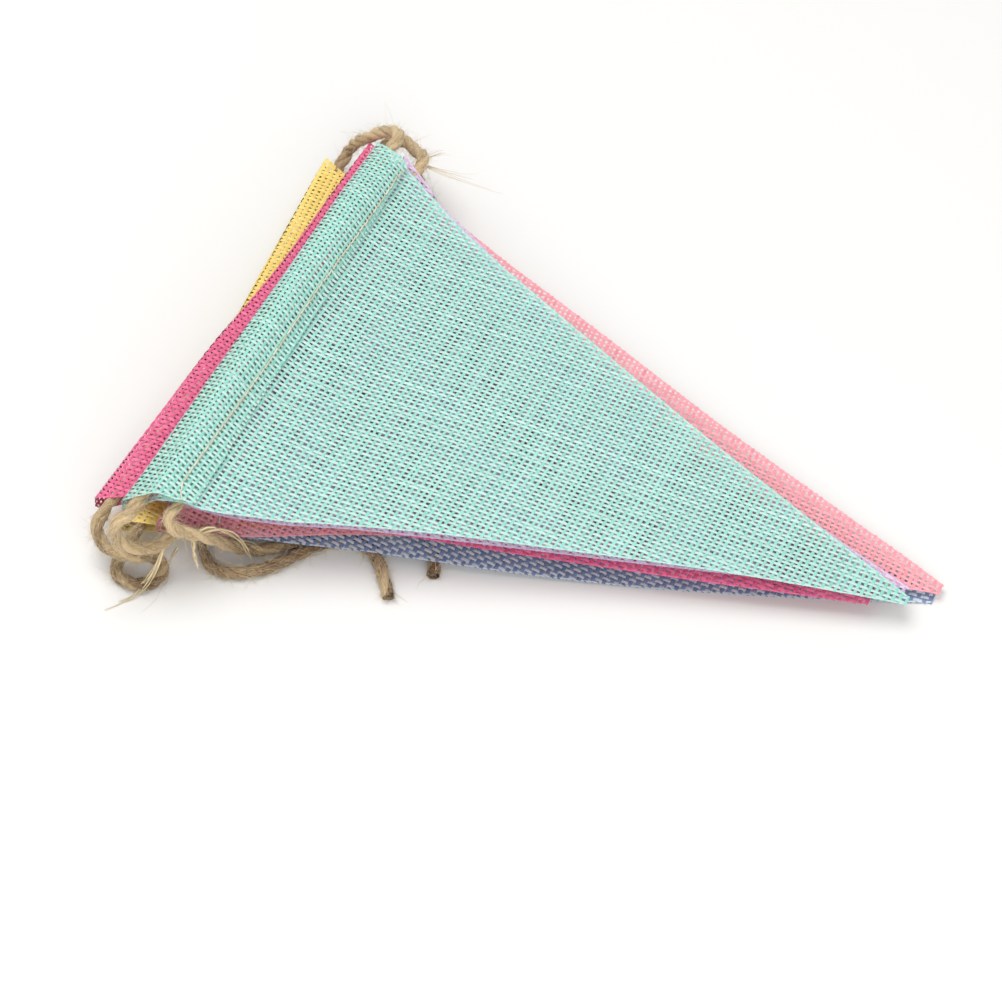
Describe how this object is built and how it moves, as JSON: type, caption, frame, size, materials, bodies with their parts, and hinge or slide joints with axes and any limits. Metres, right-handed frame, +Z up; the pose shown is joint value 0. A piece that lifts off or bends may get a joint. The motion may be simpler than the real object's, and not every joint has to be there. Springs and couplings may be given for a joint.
{
  "type": "fabric bunting folded into a stack",
  "caption": "Open-weave pennants in bright colours, stacked flat and threaded on a jute twine through the casings sewn along their headings.",
  "frame": {"origin": "on the surface that the stack lies on, under the middle of the pennants' box", "axes": "+X from the headings to the tips, +Y along the headings, +Z up"},
  "size_m": [0.2122, 0.1631, 0.0312],
  "materials": {
    "navy_cloth": "open plain weave of matt jute, navy yarns one way and pale yarns the other",
    "yellow_cloth": "open plain weave of matt yellow jute",
    "coral_cloth": "open plain weave of matt coral jute",
    "pink_cloth": "open plain weave of matt bright pink jute",
    "lilac_cloth": "open plain weave of matt lilac jute",
    "teal_cloth": "open plain weave of matt mint jute with a slight sheen",
    "jute_twine": "twisted natural jute with loose fibres"
  },
  "bodies": {
    "root": {"pennant_navy": "navy_cloth", "pennant_yellow": "yellow_cloth", "pennant_coral": "coral_cloth", "pennant_pink": "pink_cloth", "pennant_lilac": "lilac_cloth", "pennant_teal": "teal_cloth", "twine": "jute_twine"}
  },
  "joints": []
}
